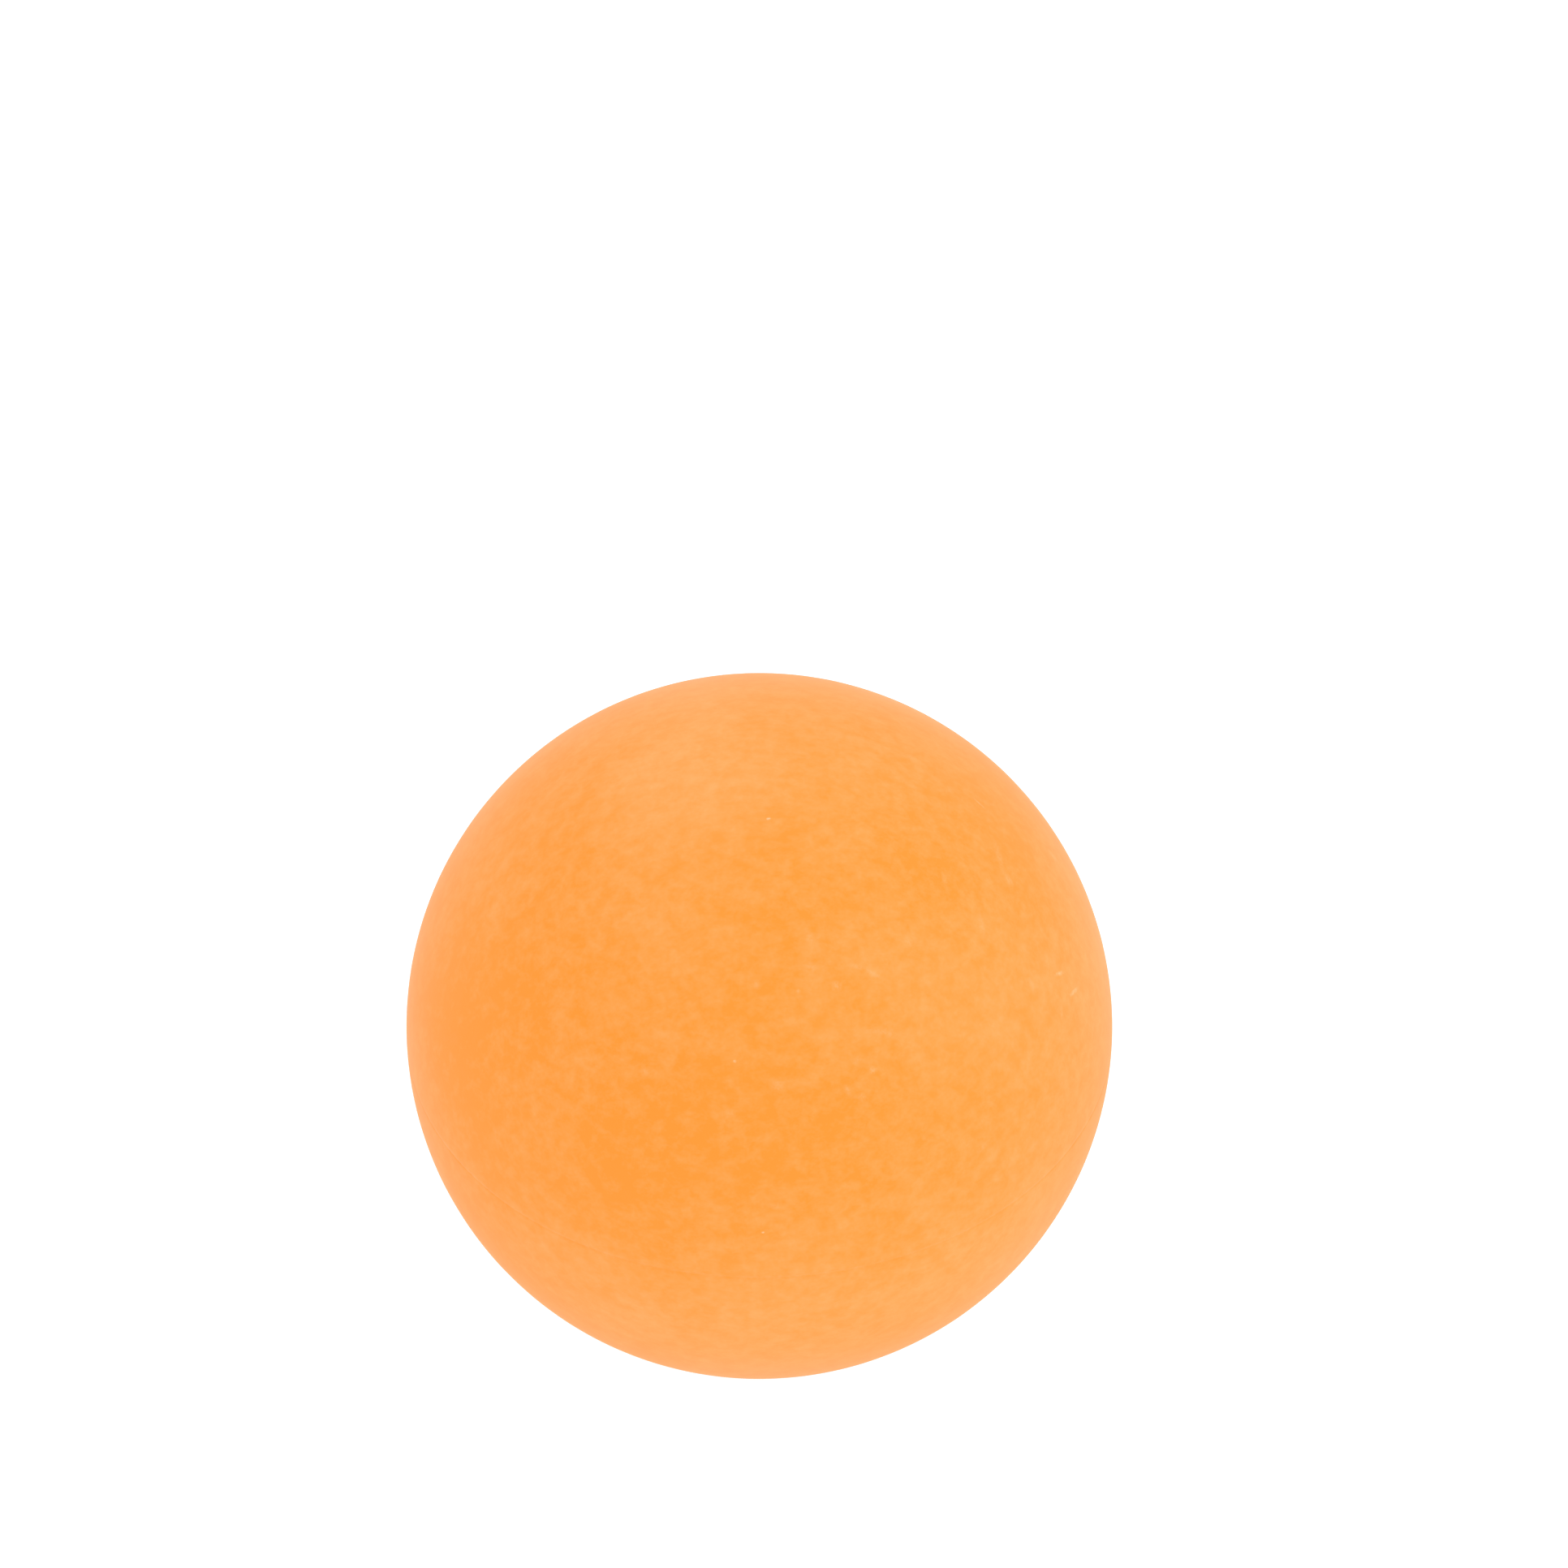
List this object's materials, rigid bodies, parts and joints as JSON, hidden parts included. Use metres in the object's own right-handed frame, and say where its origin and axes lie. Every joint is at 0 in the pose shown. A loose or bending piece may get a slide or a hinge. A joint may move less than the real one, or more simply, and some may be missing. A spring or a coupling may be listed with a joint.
{
  "type": "table tennis ball",
  "caption": "Hollow matte orange plastic ball for table tennis, made of half shells lapped and cemented along a fine seam.",
  "frame": {"origin": "centre of the ball", "axes": "+Z through the pole of the upper half shell, with the seam in the XY plane; X and Y are free, because every piece is turned about Z"},
  "size_m": [0.04, 0.04, 0.04],
  "materials": {
    "orange_shell": "matte",
    "seam_cement": "satin"
  },
  "bodies": {
    "root": {"lower_half_shell": "orange_shell", "upper_half_shell": "orange_shell", "joint_cement_ring": "seam_cement"}
  },
  "joints": []
}
